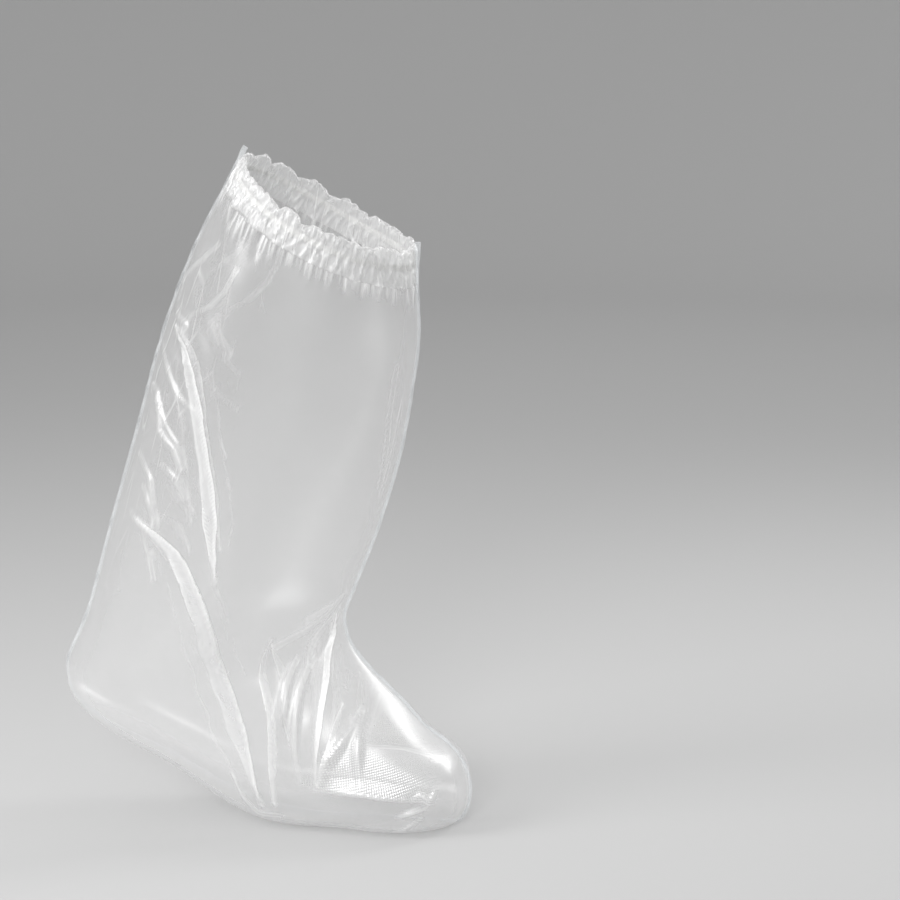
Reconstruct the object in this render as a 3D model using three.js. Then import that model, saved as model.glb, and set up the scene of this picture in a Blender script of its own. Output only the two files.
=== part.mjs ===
// Disposable boot cover as worn in a stride: heel lifted, forefoot flat, shaft leaning forward.
// Two film side panels are welded edge to edge in the middle plane, and an elastic hem gathers the top.
// Millimetres, +X to the toe, +Z up, -Y the outer side; the origin is the centre of the leg opening.
import * as THREE from "three";

// Film and clearances
const filmWall = 1.0;
const pieceGap = 0.3;

// Gathers that the elastic draws up under the hem, as pleats of two mesh columns each
const gathersPerPanel = 13;
const panelColumns = 2 * gathersPerPanel;
const gatherHeight = 1.6;
const gatherReach = 1.1;

// Hem round the leg opening: an outer leaf, a crest and an inner leaf, with the elastic between them
const casingDepth = 4.2;
const elasticThickness = 0.9;
const elasticTop = 0.36;
const elasticBottom = 0.56;

// Weld round the edge, standing out on the leg and lying flat under the sole
const weldWidth = 2.6;
const weldThickness = 1.0;
const earWidth = 4.5;
const earRise = 6.0;
const heelTurn = [7.2, 8.4];
const toeTurn = [14.6, 13.2];

// Sections of the bag from the leg opening to the toe, each from the front weld (x, z) to the back or sole
// weld. width is the bulge to each side. round is the fullness at the front and at the back: 1 a sharp lens,
// 2 an ellipse, 4 and more a box. bow moves the middle down the leg, or forward at the toe. rows is the mesh
// rows from this section to the next.
const stations = [
  { name: "rim", front: [68.5, -36], back: [-67, 35], width: 67, round: [2.0, 2.0], bow: 8, rows: 0 },
  { name: "casing foot", front: [69, -65], back: [-81, 11], width: 70, round: [1.9, 1.9], bow: 7, rows: 3 },
  { name: "upper calf", front: [70, -104], back: [-109, -42], width: 73, round: [1.6, 1.6], bow: 4, rows: 4 },
  { name: "calf", front: [65, -144], back: [-135, -108], width: 71, round: [1.5, 1.5], bow: 0, rows: 4 },
  { name: "mid shaft", front: [55, -198], back: [-158, -186], width: 67, round: [1.4, 1.4], bow: 0, rows: 4 },
  { name: "low shaft", front: [37, -258], back: [-182, -266], width: 61, round: [1.3, 1.4], bow: 0, rows: 4 },
  { name: "ankle", front: [18, -307], back: [-203, -338], width: 55, round: [1.3, 1.7], bow: 0, rows: 3 },
  { name: "heel back", front: [9, -331], back: [-223, -391], width: 49, round: [1.3, 2.2], bow: 0, rows: 3 },
  { name: "heel seat", front: [11, -350], back: [-202, -426], width: 45, round: [1.3, 3.2], bow: 0, rows: 4 },
  { name: "waist", front: [21, -367], back: [-131, -460], width: 48, round: [1.4, 4.2], bow: 0, rows: 3 },
  { name: "ball back", front: [36, -383], back: [-68, -491], width: 54, round: [1.5, 4.6], bow: 0, rows: 2 },
  { name: "ball", front: [54, -400], back: [-16, -500], width: 57, round: [1.6, 5.0], bow: 0, rows: 2 },
  { name: "toe box", front: [75, -422], back: [38, -500], width: 55, round: [1.8, 5.0], bow: 0, rows: 2 },
  { name: "toe", front: [95, -437], back: [82, -500], width: 46, round: [2.0, 4.0], bow: 1, rows: 2 },
  { name: "toe front", front: [103, -446], back: [101, -499], width: 32, round: [2.2, 3.0], bow: 3, rows: 2 },
  { name: "toe end", front: [106, -452], back: [107, -494], width: 0, round: [2.0, 2.0], bow: 5, rows: 0 },
];
const lastStation = stations.length - 1;

// Drag folds and pinches of each panel. path holds [station, way round] pairs, with way round 0 at the front
// weld and 1 at the back weld. width runs from the crest to where the fold turns in, and height is its rise.
const outerFolds = [
  {
    name: "long drag", width: 22, height: 8,
    path: [[2.8, 0.86], [4.1, 0.63], [5.8, 0.44], [8.0, 0.36], [9.5, 0.59], [10.4, 0.76]],
  },
  {
    name: "heel drag", width: 20, height: 7,
    path: [[4.8, 0.86], [5.3, 0.66], [6.1, 0.5], [7.8, 0.45], [8.8, 0.58], [9.9, 0.76]],
  },
  {
    name: "instep pinch", width: 16, height: 6,
    path: [[6.6, 0.05], [9.0, 0.17], [10.1, 0.36], [10.9, 0.57]],
  },
  { name: "ankle pinch", width: 14, height: 5, path: [[6.5, 0.05], [7.3, 0.17], [7.4, 0.32]] },
  { name: "instep tuck", width: 15, height: 4, path: [[7.9, 0.13], [9.4, 0.32], [10.5, 0.6]] },
  { name: "toe crease", width: 15, height: 4, path: [[10.0, 0.1], [10.6, 0.41], [11.2, 0.6]] },
  { name: "calf back", width: 19, height: 6, path: [[1.6, 0.9], [2.8, 0.79], [3.6, 0.74]] },
  { name: "back slack", width: 18, height: 5, path: [[3.3, 0.92], [4.2, 0.8], [4.9, 0.76]] },
  { name: "shin line", width: 16, height: 3, path: [[2.4, 0.12], [3.5, 0.08], [4.8, 0.07]] },
  { name: "toe pinch", width: 12, height: 3, path: [[12.4, 0.46], [12.9, 0.3], [13.2, 0.12]] },
];
const innerFolds = [
  {
    name: "long drag", width: 22, height: 8,
    path: [[2.4, 0.8], [4.2, 0.55], [6.2, 0.4], [8.2, 0.4], [9.8, 0.68]],
  },
  { name: "heel drag", width: 20, height: 7, path: [[5.2, 0.9], [6.2, 0.62], [7.8, 0.52], [9.2, 0.72]] },
  {
    name: "instep pinch", width: 16, height: 6,
    path: [[6.7, 0.05], [8.6, 0.2], [9.9, 0.42], [10.6, 0.62]],
  },
  { name: "toe crease", width: 15, height: 4, path: [[9.8, 0.1], [10.5, 0.3], [11.1, 0.55]] },
  { name: "calf back", width: 19, height: 6, path: [[1.7, 0.86], [3.0, 0.86], [4.3, 0.82]] },
  { name: "shin line", width: 16, height: 3, path: [[2.2, 0.1], [3.9, 0.1], [5.3, 0.08]] },
];
const edgeFade = 3;
const foldSamples = 28;
const sectionSamples = 240;

// Smooth value of one column at a station position, by cubic pieces through the table
function along(column, position) {
  const last = column.length - 1;
  const i = Math.min(Math.max(Math.floor(position), 0), last - 1);
  const f = position - i;
  const slope = (k) => {
    if (k === 0) return column[1] - column[0];
    if (k === last) return column[last] - column[last - 1];
    return (column[k + 1] - column[k - 1]) / 2;
  };
  const a = 2 * f ** 3 - 3 * f ** 2 + 1;
  const b = f ** 3 - 2 * f ** 2 + f;
  const c = 3 * f ** 2 - 2 * f ** 3;
  const d = f ** 3 - f ** 2;
  return a * column[i] + b * slope(i) + c * column[i + 1] + d * slope(i + 1);
}

function column(pick) {
  return stations.map(pick);
}

const columns = {
  frontX: column((s) => s.front[0]),
  frontZ: column((s) => s.front[1]),
  backX: column((s) => s.back[0]),
  backZ: column((s) => s.back[1]),
  widthSquared: column((s) => s.width ** 2),
  frontRound: column((s) => s.round[0]),
  backRound: column((s) => s.round[1]),
  bow: column((s) => s.bow),
};

function sizesAt(position) {
  const at = {};
  for (const name of Object.keys(columns)) at[name] = along(columns[name], position);
  // widths are blended by their squares, so that the toe closes in a round
  at.halfWidth = Math.sqrt(Math.max(at.widthSquared, 0));
  return at;
}

// Point of the middle plane part of the way along a section's chord, from -1 at the back weld to 1 in front
function chordPoint(at, part) {
  const halfX = (at.frontX - at.backX) / 2;
  const halfZ = (at.frontZ - at.backZ) / 2;
  const length = Math.hypot(halfX, halfZ);
  const bow = at.bow * (1 - part ** 2);
  const x = (at.frontX + at.backX) / 2 + halfX * part + (bow * halfZ) / length;
  const z = (at.frontZ + at.backZ) / 2 + halfZ * part - (bow * halfX) / length;
  return [x, z];
}

// One side of a section, as points an even way apart from the front weld to the back weld
function sectionSide(position, side, clearance) {
  const at = sizesAt(position);
  const fine = [];
  for (let k = 0; k <= sectionSamples; k += 1) {
    const turn = (Math.PI * k) / sectionSamples;
    const cosine = Math.cos(turn);
    const round = cosine >= 0 ? at.frontRound : at.backRound;
    const power = Math.max(2, round);
    const part = Math.sign(cosine) * Math.abs(cosine) ** (2 / power);
    const bulge = Math.max(0, 1 - Math.abs(part) ** power) ** (1 / round);
    const [x, z] = chordPoint(at, part);
    fine.push(new THREE.Vector3(x, side * (clearance + at.halfWidth * bulge), z));
  }
  const lengths = [0];
  for (let k = 1; k < fine.length; k += 1) {
    lengths.push(lengths[k - 1] + fine[k].distanceTo(fine[k - 1]));
  }
  const total = lengths[lengths.length - 1];
  const even = [];
  let k = 1;
  for (let j = 0; j <= panelColumns; j += 1) {
    const want = (total * j) / panelColumns;
    while (k < fine.length - 1 && lengths[k] < want) k += 1;
    const share = (want - lengths[k - 1]) / (lengths[k] - lengths[k - 1]);
    even.push(fine[k - 1].clone().lerp(fine[k], share));
  }
  return even;
}

// Point of one side at a station position and a way round from 0 to 1
function sidePoint(position, round, side) {
  const even = sectionSide(position, side, 0);
  const at = Math.min(Math.max(round, 0), 1) * panelColumns;
  const j = Math.min(Math.floor(at), panelColumns - 1);
  return even[j].clone().lerp(even[j + 1], at - j);
}

// The crest line of a fold, as points on the side it lies on with how far along it each one is
function foldLine(fold, side) {
  const steps = fold.path.length - 1;
  const line = [];
  for (let k = 0; k <= foldSamples; k += 1) {
    const place = (steps * k) / foldSamples;
    const position = along(fold.path.map((p) => p[0]), place);
    const round = along(fold.path.map((p) => p[1]), place);
    line.push({ point: sidePoint(position, round, side), share: k / foldSamples });
  }
  return line;
}

// Rise of all the folds at a point: a crest with a shallow dip on both flanks, fading at both ends
function foldRise(point, lines) {
  let rise = 0;
  for (const { fold, line } of lines) {
    let best = Infinity;
    let share = 0;
    for (let k = 1; k < line.length; k += 1) {
      const from = line[k - 1].point;
      const step = line[k].point.clone().sub(from);
      const away = point.clone().sub(from);
      const part = Math.min(Math.max(away.dot(step) / step.lengthSq(), 0), 1);
      const distance = away.addScaledVector(step, -part).length();
      if (distance < best) {
        best = distance;
        share = line[k - 1].share + part * (line[k].share - line[k - 1].share);
      }
    }
    const ratio = (best / fold.width) ** 2;
    const fade = Math.sqrt(Math.sin(Math.PI * Math.min(Math.max(share, 0.02), 0.98)));
    rise += fold.height * fade * (1 - ratio) * Math.exp(-ratio);
  }
  return rise;
}

// Gathers: every other column stands up, most at the hem, none at the welds
function gatherRise(position, j) {
  const fade = Math.max(0, 1 - Math.max(0, position - 1) / gatherReach);
  const weldFade = Math.sin((Math.PI * j) / panelColumns) > 0.15 ? 1 : 0;
  return gatherHeight * fade * weldFade * (j % 2 === 0 ? 1 : -1);
}

// Outward unit normals of a grid of points, rows down the bag and columns round it
function gridNormals(grid, side, closed) {
  const rows = grid.length;
  const count = grid[0].length;
  return grid.map((row, i) =>
    row.map((point, j) => {
      const before = closed ? (j + count - 1) % count : Math.max(j - 1, 0);
      const after = closed ? (j + 1) % count : Math.min(j + 1, count - 1);
      const down = grid[Math.min(i + 1, rows - 1)][j].clone().sub(grid[Math.max(i - 1, 0)][j]);
      const round = row[after].clone().sub(row[before]);
      return round.cross(down).multiplyScalar(-side).normalize();
    }),
  );
}

// Closed body from points and triangles, turned so that its faces look outward
function closedMesh(name, points, triangles, colour, opacity) {
  let volume = 0;
  for (const [a, b, c] of triangles) volume += points[a].dot(points[b].clone().cross(points[c]));
  const turned = volume > 0 ? triangles : triangles.map(([a, b, c]) => [a, c, b]);
  const geometry = new THREE.BufferGeometry();
  const flat = points.flatMap((p) => [p.x, p.y, p.z]);
  geometry.setAttribute("position", new THREE.Float32BufferAttribute(flat, 3));
  geometry.setIndex(turned.flat());
  geometry.computeVertexNormals();
  const material = new THREE.MeshStandardMaterial({
    color: colour,
    roughness: 0.35,
    transparent: opacity < 1,
    opacity,
  });
  const mesh = new THREE.Mesh(geometry, material);
  mesh.name = name;
  return mesh;
}

// Two triangles of a square with corners in order
function square(a, b, c, d) {
  return [[a, b, c], [a, c, d]];
}

// Station positions of a panel's mesh rows, starting just under the hem
function panelRows() {
  const rows = [];
  for (let s = 1; s < lastStation; s += 1) {
    for (let k = 0; k < stations[s].rows; k += 1) rows.push(s + k / stations[s].rows);
  }
  rows.push(lastStation);
  const topSpan = Math.abs(stations[2].front[1] - stations[1].front[1]);
  rows[0] += (1.5 * pieceGap) / topSpan;
  return rows;
}

// Film panel of one side: an outer skin with its folds and gathers, an inner skin one wall in, closed edges
function filmPanel(name, side, folds, colour) {
  const rows = panelRows();
  const grid = rows.map((position) => sectionSide(position, side, pieceGap / 2));
  const normals = gridNormals(grid, side, false);
  const lines = folds.map((fold) => ({ fold, line: foldLine(fold, side) }));
  const outer = [];
  const inner = [];
  const rises = [];
  rows.forEach((position, i) => {
    grid[i].forEach((point, j) => {
      const toEdge = Math.min(j, panelColumns - j, rows.length - 1 - i);
      const rise = Math.min(1, toEdge / edgeFade) * foldRise(point, lines) + gatherRise(position, j);
      rises.push(rise);
      const skin = point.clone().addScaledVector(normals[i][j], rise);
      const under = point.clone().addScaledVector(normals[i][j], rise - filmWall);
      skin.y = side * Math.max(side * skin.y, pieceGap / 2);
      under.y = side * Math.max(side * under.y, pieceGap / 2);
      outer.push(skin);
      inner.push(under);
    });
  });
  const width = panelColumns + 1;
  const height = rows.length;
  const shift = outer.length;
  const triangles = [];
  for (let i = 0; i < height - 1; i += 1) {
    for (let j = 0; j < width - 1; j += 1) {
      const a = i * width + j;
      const corners = [a, a + 1, a + width + 1, a + width];
      const [first, second, third, fourth] = corners.map((corner) => rises[corner]);
      // the split joins the higher pair of corners, so that a crest runs on from square to square
      if (second + fourth > first + third) corners.push(corners.shift());
      const [p, q, r, t] = corners;
      triangles.push(...square(p, q, r, t));
      triangles.push(...square(shift + p, shift + t, shift + r, shift + q));
    }
  }
  for (let j = 0; j < width - 1; j += 1) {
    const a = j;
    const b = (height - 1) * width + j;
    triangles.push(...square(a + 1, a, shift + a, shift + a + 1));
    triangles.push(...square(b, b + 1, shift + b + 1, shift + b));
  }
  for (let i = 0; i < height - 1; i += 1) {
    const a = i * width;
    const b = i * width + width - 1;
    triangles.push(...square(a, a + width, shift + a + width, shift + a));
    triangles.push(...square(b + width, b, shift + b, shift + b + width));
  }
  return closedMesh(name, [...outer, ...inner], triangles, colour, 0.5);
}

// Ring of points round both sides at a station position
function ringAt(position) {
  const near = sectionSide(position, -1, 0);
  const far = sectionSide(position, 1, 0);
  return [...near, ...far.slice(1, panelColumns).reverse()];
}

// Ring swept from a profile of [station position, depth inside the film] pairs, following the gathers
function gatheredRing(name, profile, colour, opacity) {
  const step = 0.03;
  const points = [];
  for (const [position, depth] of profile) {
    const grid = [ringAt(position - step), ringAt(position), ringAt(position + step)];
    const normals = gridNormals(grid, -1, true)[1];
    grid[1].forEach((point, j) => {
      const rise = gatherRise(position, j % panelColumns) - depth;
      points.push(point.clone().addScaledVector(normals[j], rise));
    });
  }
  const count = 2 * panelColumns;
  const triangles = [];
  for (let i = 0; i < profile.length; i += 1) {
    const next = (i + 1) % profile.length;
    for (let j = 0; j < count; j += 1) {
      const k = (j + 1) % count;
      triangles.push(...square(i * count + j, i * count + k, next * count + k, next * count + j));
    }
  }
  return closedMesh(name, points, triangles, colour, opacity);
}

function topCasing() {
  const leaf = filmWall;
  const profile = [
    [1.0, 0],
    [0.5, 0],
    [0.06, 0.3],
    [-0.03, casingDepth / 2],
    [0.06, casingDepth - 0.3],
    [0.5, casingDepth],
    [1.0, casingDepth],
    [1.0, casingDepth - leaf],
    [0.5, casingDepth - leaf],
    [0.12, casingDepth / 2 + 0.5],
    [0.12, casingDepth / 2 - 0.5],
    [0.5, leaf],
    [1.0, leaf],
  ];
  return gatheredRing("top_casing", profile, 0xdfe3e6, 0.6);
}

function elastic() {
  const near = (casingDepth - elasticThickness) / 2;
  const far = (casingDepth + elasticThickness) / 2;
  const profile = [
    [elasticBottom, near],
    [elasticTop, near],
    [elasticTop, far],
    [elasticBottom, far],
  ];
  return gatheredRing("elastic", profile, 0xf4f4f2, 1);
}

// Share of the way from one station position to another, held between 0 and 1
function stage(position, from, to) {
  return Math.min(Math.max((position - from) / (to - from), 0), 1);
}

// Path of the weld in the middle plane: down the front, round the toe, back along the sole and up behind.
// lay is 0 where the weld stands out and 1 where it lies flat under the sole.
function weldPath() {
  const places = [0, 0.5, ...panelRows()];
  const toe = sizesAt(lastStation);
  const toeSteps = 8;
  const widthAt = (position) => weldWidth + (earWidth - weldWidth) * stage(position, 1, 0) ** 2;
  const layAt = (position) => Math.min(stage(position, ...heelTurn), stage(position, ...toeTurn));
  const edge = (xs, zs, lies) =>
    places.map((position) => ({
      at: new THREE.Vector2(along(xs, position), along(zs, position)),
      lay: lies ? layAt(position) : 0,
      width: widthAt(position),
    }));
  const ear = ([top, next]) => {
    const way = top.at.clone().sub(next.at).normalize();
    return [{ at: top.at.clone().addScaledVector(way, earRise), lay: 0, width: earWidth }];
  };
  const front = edge(columns.frontX, columns.frontZ, false);
  const back = edge(columns.backX, columns.backZ, true);
  const round = [];
  for (let k = 1; k < toeSteps; k += 1) {
    const at = new THREE.Vector2(...chordPoint(toe, 1 - (2 * k) / toeSteps));
    round.push({ at, lay: 0, width: weldWidth });
  }
  return [...ear(front), ...front, ...round, ...back.slice().reverse(), ...ear(back)];
}

function weldSeam() {
  const path = weldPath();
  const points = [];
  path.forEach(({ at, lay, width }, k) => {
    const before = path[Math.max(k - 1, 0)].at;
    const after = path[Math.min(k + 1, path.length - 1)].at;
    const way = after.clone().sub(before).normalize();
    const tangent = new THREE.Vector3(way.x, 0, way.y);
    const outward = new THREE.Vector3(-way.y, 0, way.x);
    const angle = (lay * Math.PI) / 2;
    const sideways = new THREE.Vector3(0, -Math.sin(angle), 0);
    const reach = outward.clone().multiplyScalar(Math.cos(angle)).add(sideways);
    const across = tangent.clone().cross(reach).multiplyScalar(weldThickness / 2);
    const root = new THREE.Vector3(at.x, 0, at.y).addScaledVector(outward, pieceGap + weldThickness / 2);
    const near = root.clone().addScaledVector(reach, -weldThickness / 2);
    const far = root.clone().addScaledVector(reach, width - weldThickness / 2);
    points.push(near.clone().add(across), far.clone().add(across));
    points.push(far.clone().sub(across), near.clone().sub(across));
  });
  const triangles = [];
  const last = path.length - 1;
  for (let k = 0; k < last; k += 1) {
    for (let c = 0; c < 4; c += 1) {
      const n = (c + 1) % 4;
      triangles.push(...square(4 * k + c, 4 * k + n, 4 * (k + 1) + n, 4 * (k + 1) + c));
    }
  }
  triangles.push(...square(3, 2, 1, 0));
  triangles.push(...square(4 * last, 4 * last + 1, 4 * last + 2, 4 * last + 3));
  return closedMesh("weld_seam", points, triangles, 0xe6eaec, 0.7);
}

const bootCover = new THREE.Group();
bootCover.name = "disposable_boot_cover";
bootCover.add(filmPanel("outer_panel", -1, outerFolds, 0xe3e7ea));
bootCover.add(filmPanel("inner_panel", 1, innerFolds, 0xe3e7ea));
bootCover.add(weldSeam());
bootCover.add(topCasing());
bootCover.add(elastic());

export default bootCover;
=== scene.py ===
import bpy
import numpy as np
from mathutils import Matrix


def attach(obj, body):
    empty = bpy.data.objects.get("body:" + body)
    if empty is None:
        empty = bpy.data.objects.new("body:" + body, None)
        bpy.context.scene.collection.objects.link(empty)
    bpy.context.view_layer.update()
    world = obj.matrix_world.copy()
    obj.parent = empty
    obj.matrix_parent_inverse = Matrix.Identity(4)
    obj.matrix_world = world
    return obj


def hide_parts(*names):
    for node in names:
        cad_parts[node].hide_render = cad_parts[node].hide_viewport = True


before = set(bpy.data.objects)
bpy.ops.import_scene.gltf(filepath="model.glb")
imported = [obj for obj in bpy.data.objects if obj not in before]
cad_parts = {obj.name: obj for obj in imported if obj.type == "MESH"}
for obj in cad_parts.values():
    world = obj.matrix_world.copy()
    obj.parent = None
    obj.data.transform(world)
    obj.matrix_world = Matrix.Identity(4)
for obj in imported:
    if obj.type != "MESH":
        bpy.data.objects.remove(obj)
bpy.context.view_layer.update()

# Side panels
# Two equal pieces of milky polyethylene film with a fine embossed dot, cut to the outline of a leg and foot.
# They are welded to each other round the edge. Spare film falls into drag folds, pinches and crumples.

# Sections of the bag from the leg opening to the toe, in metres, each from the front weld to the back or sole
# weld. Columns: front x, front z, back x, back z, half width, front round, back round, bow.
stations = np.array([
    (0.0685, -0.036, -0.067, 0.035, 0.067, 2.0, 2.0, 0.008),   # rim
    (0.069, -0.065, -0.081, 0.011, 0.070, 1.9, 1.9, 0.007),    # casing foot
    (0.070, -0.104, -0.109, -0.042, 0.073, 1.6, 1.6, 0.004),   # upper calf
    (0.065, -0.144, -0.135, -0.108, 0.071, 1.5, 1.5, 0.0),     # calf
    (0.055, -0.198, -0.158, -0.186, 0.067, 1.4, 1.4, 0.0),     # mid shaft
    (0.037, -0.258, -0.182, -0.266, 0.061, 1.3, 1.4, 0.0),     # low shaft
    (0.018, -0.307, -0.203, -0.338, 0.055, 1.3, 1.7, 0.0),     # ankle
    (0.009, -0.331, -0.223, -0.391, 0.049, 1.3, 2.2, 0.0),     # heel back
    (0.011, -0.350, -0.202, -0.426, 0.045, 1.3, 3.2, 0.0),     # heel seat
    (0.021, -0.367, -0.131, -0.460, 0.048, 1.4, 4.2, 0.0),     # waist
    (0.036, -0.383, -0.068, -0.491, 0.054, 1.5, 4.6, 0.0),     # ball back
    (0.054, -0.400, -0.016, -0.500, 0.057, 1.6, 5.0, 0.0),     # ball
    (0.075, -0.422, 0.038, -0.500, 0.055, 1.8, 5.0, 0.0),      # toe box
    (0.095, -0.437, 0.082, -0.500, 0.046, 2.0, 4.0, 0.001),    # toe
    (0.103, -0.446, 0.101, -0.499, 0.032, 2.2, 3.0, 0.003),    # toe front
    (0.106, -0.452, 0.107, -0.494, 0.0, 2.0, 2.0, 0.005),      # toe end
])
last_station = len(stations) - 1
weld_clearance = 0.00015
section_points = 241


def blended(table, position):
    """Cubic pieces through the rows of a table, with slopes from the rows on both sides."""
    slope = np.gradient(table, axis=0)
    i = np.clip(np.floor(position).astype(int), 0, len(table) - 2)
    f = np.reshape(position - i, (-1,) + (1,) * (table.ndim - 1))
    start = (2 * f**3 - 3 * f**2 + 1) * table[i] + (f**3 - 2 * f**2 + f) * slope[i]
    end = (3 * f**2 - 2 * f**3) * table[i + 1] + (f**3 - f**2) * slope[i + 1]
    return start + end


def bag_side(position, way_round, side):
    """One side of the bag, rows at station positions and columns at shares of the way round.

    A section runs along its chord from the front weld (1) to the back weld (-1) and bulges sideways by its
    half width times (1 - |chord share| ** power) ** (1 / round). The bow moves the chord's middle across
    itself, and the points are then spread evenly by arc length.
    """
    position = np.atleast_1d(np.asarray(position, float))
    sections = blended(stations, position).T[..., None]
    front_x, front_z, back_x, back_z, _, front_round, back_round, bow = sections
    width = np.sqrt(np.maximum(blended(stations[:, 4] ** 2, position), 0))[:, None]
    cosine = np.cos(np.linspace(0, np.pi, section_points))
    fullness = np.where(cosine >= 0, front_round, back_round)
    power = np.maximum(2, fullness)
    part = np.sign(cosine) * np.abs(cosine) ** (2 / power)
    bulge = np.maximum(0, 1 - np.abs(part) ** power) ** (1 / fullness)
    half_x, half_z = (front_x - back_x) / 2, (front_z - back_z) / 2
    across = bow * (1 - part**2) / np.hypot(half_x, half_z)
    x = (front_x + back_x) / 2 + half_x * part + across * half_z
    z = (front_z + back_z) / 2 + half_z * part - across * half_x
    y = side * (weld_clearance + width * bulge)
    section = np.stack([x, y, z], -1)
    steps = np.linalg.norm(np.diff(section, axis=1), axis=2)
    length = np.pad(np.cumsum(steps, axis=1), ((0, 0), (1, 0)))
    # Each row's lengths are moved on by 2, so one interpolation serves all the rows.
    shift = 2.0 * np.arange(len(position))[:, None]
    have = (length / length[:, -1:] + shift).ravel()
    want = (np.asarray(way_round, float) + shift).ravel()
    even = [np.interp(want, have, section[..., k].ravel()) for k in range(3)]
    return np.stack(even, -1).reshape(len(position), -1, 3)


def even_rows(first, last, count):
    """Station positions that lie evenly by the mean length of three lines down the bag, and that length."""
    measured_rows, measured_lines = 600, (0.2, 0.5, 0.85)
    position = np.linspace(first, last, measured_rows)
    lines = bag_side(position, measured_lines, 1)
    steps = np.linalg.norm(np.diff(lines, axis=0), axis=2).mean(axis=1)
    length = np.append(0, np.cumsum(steps))
    return np.interp(np.linspace(0, length[-1], count), length, position), length[-1]


def outward(points, side):
    """Unit normals of a grid, by the cross product of its two directions, pointing out of the bag."""
    normal = -side * np.cross(np.gradient(points, axis=1), np.gradient(points, axis=0))
    return normal / np.maximum(np.linalg.norm(normal, axis=2, keepdims=True), 1e-12)


# Folds: name, kind, width, height and path. A pleat is turned under itself by its width, to the front or to
# the back, and stands up by its height. A ridge is a narrow tent. A path holds pairs of a station position
# and a share of the way round. Both panels have the creases of the calf, the inner one a little lower.
calf_creases = [
    ("hem corner", "ridge", 0.003, 0.001, [(2.53, 0.918), (2.26, 0.932), (1.95, 0.86), (1.6, 0.798)]),
    ("calf slant", "ridge", 0.003, 0.001,
     [(2.76, 0.838), (2.62, 0.82), (2.4, 0.742), (2.1, 0.698), (1.71, 0.678)]),
    ("calf zigzag", "ridge", 0.004, 0.0016,
     [(2.59, 0.928), (2.71, 0.87), (2.72, 0.82), (2.82, 0.835), (2.97, 0.8)]),
    ("drag twin", "ridge", 0.004, 0.0014, [(2.76, 0.818), (3.05, 0.752), (3.15, 0.755), (3.28, 0.712)]),
    ("back slant", "ridge", 0.0045, 0.002,
     [(3.05, 0.94), (3.21, 0.885), (3.37, 0.818), (3.59, 0.735), (3.68, 0.685)]),
    ("back edge", "ridge", 0.004, 0.0016, [(3.52, 0.96), (3.54, 0.888), (3.66, 0.868), (3.78, 0.82)]),
    ("calf band", "ridge", 0.0045, 0.0018,
     [(3.52, 0.94), (3.64, 0.858), (3.92, 0.828), (4.04, 0.745), (4.23, 0.705), (4.37, 0.712)]),
    ("band twin", "ridge", 0.0035, 0.0012, [(3.62, 0.872), (3.83, 0.805), (3.99, 0.732), (4.21, 0.69)]),
    ("calf tail", "ridge", 0.005, 0.0012, [(4.24, 0.775), (4.36, 0.705), (4.52, 0.66)]),
    ("heel feed", "ridge", 0.004, 0.0016, [(4.19, 0.915), (4.4, 0.818), (4.64, 0.78), (4.9, 0.73)]),
    ("heel twig", "ridge", 0.0035, 0.0012, [(4.49, 0.842), (4.67, 0.792), (4.81, 0.75), (4.96, 0.74)]),
    ("heel band", "ridge", 0.004, 0.0012, [(4.79, 0.87), (4.96, 0.782), (5.24, 0.73), (5.48, 0.7)]),
]
inner_crease_shift = (0.2, -0.02)
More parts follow.
